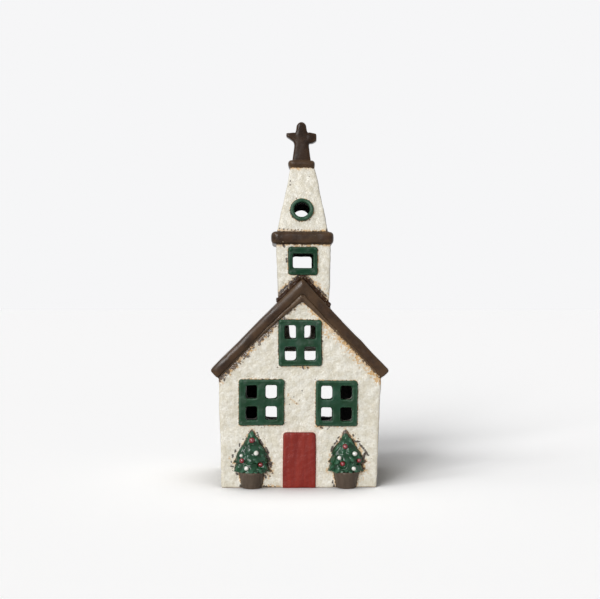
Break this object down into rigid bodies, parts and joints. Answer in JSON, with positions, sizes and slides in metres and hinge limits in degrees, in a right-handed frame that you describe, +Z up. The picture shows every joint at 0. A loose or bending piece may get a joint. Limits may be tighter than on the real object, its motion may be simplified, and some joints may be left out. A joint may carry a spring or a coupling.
{
  "type": "tealight holder",
  "caption": "Church-shaped ceramic tealight holder: pierced windows, pitched roof, tower with spire and cross, relief door and potted trees, rear opening, tealight inside.",
  "frame": {"origin": "centre of the underside, on the surface that the holder stands on", "axes": "+Z up to the cross, the front with the door looks towards -Y, +X to the viewer's right"},
  "size_m": [0.1008, 0.082, 0.2074],
  "materials": {
    "cream_glaze": "satin, speckled",
    "brown_glaze": "gloss",
    "green_glaze": "gloss",
    "red_glaze": "satin, streaked",
    "leaf_glaze": "gloss",
    "pot_glaze": "satin",
    "bauble_red": "gloss",
    "bauble_white": "gloss",
    "bare_clay": "matt",
    "foil": "bright",
    "wax": "waxy",
    "cotton": "woven",
    "tin": "plain"
  },
  "bodies": {
    "church": {"front_wall": "cream_glaze", "back_wall": "cream_glaze", "left_wall": "cream_glaze", "right_wall": "cream_glaze", "floor": "bare_clay", "left_roof": "brown_glaze", "right_roof": "brown_glaze", "tower_front_wall": "cream_glaze", "tower_back_wall": "cream_glaze", "tower_left_wall": "cream_glaze", "tower_right_wall": "cream_glaze", "tower_saddle_coil": "brown_glaze", "tower_front_window_frame": "green_glaze", "tower_back_window_frame": "green_glaze", "cornice": "brown_glaze", "spire_front_wall": "cream_glaze", "spire_right_wall": "cream_glaze", "spire_back_wall": "cream_glaze", "spire_left_wall": "cream_glaze", "round_front_window_ring": "green_glaze", "round_back_window_ring": "green_glaze", "spire_collar": "brown_glaze", "cross": "brown_glaze", "left_window_frame": "green_glaze", "right_window_frame": "green_glaze", "gable_window_frame": "green_glaze", "door": "red_glaze", "left_tree": "leaf_glaze", "left_pot": "pot_glaze", "left_red_bauble_1": "bauble_red", "left_red_bauble_2": "bauble_red", "left_red_bauble_3": "bauble_red", "left_white_bauble_1": "bauble_white", "left_white_bauble_2": "bauble_white", "left_white_bauble_3": "bauble_white", "right_tree": "leaf_glaze", "right_pot": "pot_glaze", "right_red_bauble_1": "bauble_red", "right_red_bauble_2": "bauble_red", "right_red_bauble_3": "bauble_red", "right_white_bauble_1": "bauble_white", "right_white_bauble_2": "bauble_white", "right_white_bauble_3": "bauble_white"},
    "tealight": {"tealight_cup": "foil", "tealight_wax": "wax", "wick_sustainer": "tin", "wick": "cotton"}
  },
  "joints": [
    {"name": "tealight_lift", "type": "slide", "parent": "church", "child": "tealight", "axis": [0, 0, 1], "range_m": [0, 0.03]}
  ]
}
